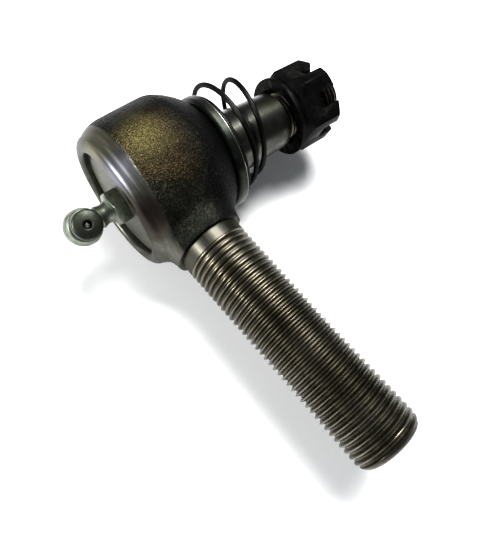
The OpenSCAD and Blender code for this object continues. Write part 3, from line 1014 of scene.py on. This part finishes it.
# ---------------------------------------------------------------- dust cover, seal and spring
def dust_cover():
    """Pan that sits on the dome, with a wall round it."""
    outer = BOWL_R + COVER_T
    under = arc(0, 0, BOWL_R, math.degrees(math.acos(BOWL_EDGE / BOWL_R)),
                math.degrees(math.acos(COVER_BORE / BOWL_R)), 8)
    upper = arc(0, 0, outer, math.degrees(math.acos(COVER_BORE / outer)),
                math.degrees(math.acos((BOWL_EDGE - 0.2) / outer)), 8)
    inner_r = COVER_R - COVER_T
    wall = [(inner_r - 0.25, CORNER_Z + 1.15), (inner_r, CORNER_Z + 1.7), (inner_r, RIM_Z - 0.05),
            (inner_r + 0.07, RIM_Z), (COVER_R - 0.16, RIM_Z), (COVER_R, RIM_Z - 0.16)]
    corner = arc(COVER_R - 1.3, CORNER_Z + 1.3, 1.3, 0, -80, 8)
    return mesh("dust_cover_pan", *turned(fine(under + upper + wall + corner, 0.8), 160, True),
                "dust_cover", "pan_steel", "dust_cover", COVER, sharp=40)


def dust_seal():
    """Rubber ring between the pan and the dome."""
    inner = math.degrees(math.asin((COVER_BORE - 0.3) / SEAL_R))
    outer = 37
    profile = (arc(0, 0, SEAL_R, 90 - inner, 90 - outer, 10)
               + arc(0, 0, SEAL_R + SEAL_T, 90 - outer, 90 - inner, 10))
    return mesh("dust_seal_ring", *turned(profile, 128, True), "dust_cover", "seal_rubber",
                "dust_seal", COVER)


def dust_cover_spring():
    """The wire spring. Its first turn lies in the cover, and the turns above it are shifted
    sideways and fan out."""
    wire, first_r, turns = 0.65, 13.3, 2.75
    pitch, closed = 6.1, 1.2
    widen, narrow, shift, back, lean_rate = 0.6, 1.5, 3.0, 2.0, 2.4
    seat = math.sqrt((BOWL_R + COVER_T + wire) ** 2 - first_r ** 2) + 0.03
    steps = 96
    line, normals = [], []
    for i in range(round(turns * steps) + 1):
        u = i / steps
        a = TAU * u
        loose = max(0, min(2 * u - 1, 1))
        loose = loose * loose * (3 - 2 * loose)
        above = max(u - 1, 0)
        r = first_r + widen * loose - narrow * above
        climb = u * u / 2 / closed if u < closed else u - closed / 2
        lean = lean_rate * above - back * loose
        line.append((r * math.cos(a) - shift * loose, -r * math.sin(a),
                     seat + pitch * climb - lean * math.cos(a)))
        normals.append((math.cos(a), -math.sin(a), 0))
    return mesh("dust_cover_spring_wire", *swept(line, normals, wire), "dust_cover",
                "spring_steel", "dust_cover_spring", COVER)


paint(dust_cover(), MATERIAL["pan_steel"])
paint(dust_seal(), MATERIAL["seal_rubber"])
paint(dust_cover_spring(), MATERIAL["spring_steel"])


# ---------------------------------------------------------------- CAD nodes that show as they are
for subpart in frame["record"]["subparts"]:
    node = frame["nodes"][subpart["node"]]
    if not node.hide_render:
        paint(node, MATERIAL[subpart["material_slot"]])


# ---------------------------------------------------------------- floor, light and camera
def floor():
    """A pale square under the lowest point."""
    z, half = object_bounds()[0][2] / MM - 0.05, 900
    points = [(-half, -half, z), (half, -half, z), (half, half, z), (-half, half, z)]
    data = bpy.data.meshes.new("floor")
    data.from_pydata([Vector(p) * MM for p in points], [], [(0, 1, 2, 3)])
    obj = bpy.data.objects.new("floor", data)
    bpy.context.scene.collection.objects.link(obj)
    obj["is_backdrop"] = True
    g = Graph("floor_paper")
    grain = g.noise(600, 3)
    g.set(base_color=g.ramp(grain, (0.3, (0.93, 0.93, 0.93)), (0.7, (0.95, 0.95, 0.95))),
          roughness=0.9, specular=0.1)
    paint(obj, g.material)


def area_light(name, place, target, size, power):
    """A rectangular light at a place, aimed at a target, with a size in millimetres."""
    light = bpy.data.lights.new(name, "AREA")
    light.shape = "RECTANGLE"
    light.size, light.size_y = size[0] * MM, size[1] * MM
    light.energy = power
    obj = bpy.data.objects.new(name, light)
    bpy.context.scene.collection.objects.link(obj)
    obj.location = Vector(place) * MM
    obj.rotation_euler = (Vector(target) - Vector(place)).to_track_quat("-Z", "Y").to_euler()


def lights():
    """A dim sky, a large key light above and a narrow one on the cover plate's side."""
    world = bpy.data.worlds.new("studio")
    world.use_nodes = True
    background = world.node_tree.nodes["Background"]
    background.inputs["Color"].default_value = (0.9, 0.95, 1, 1)
    background.inputs["Strength"].default_value = 0.2
    bpy.context.scene.world = world
    area_light("key", (-60, 120, 340), (20, 5, 0), (170, 170), 3.0)
    area_light("front", (-70, -300, 180), (20, -10, 0), (110, 34), 1.5)


def camera():
    """A close camera above the shank, rolled so that the stud points up to the right."""
    place = Vector((53.83, -31.36, 88.0))
    target = Vector((29.7, 1.42, 0.0))
    roll = math.radians(-14.14)
    lens, sensor = 28.8806, 36
    data = bpy.data.cameras.new("camera")
    data.sensor_fit = "AUTO"
    data.sensor_width = sensor
    data.lens = lens
    data.clip_start = 0.005
    obj = bpy.data.objects.new("camera", data)
    bpy.context.scene.collection.objects.link(obj)
    level = (target - place).to_track_quat("-Z", "Y").to_matrix().to_4x4()
    obj.matrix_world = (Matrix.Translation(place * MM) @ level
                        @ Matrix.Rotation(-roll, 4, "Z"))
    bpy.context.scene.camera = obj
    bpy.context.scene.view_settings.view_transform = "Standard"


floor()
lights()
camera()
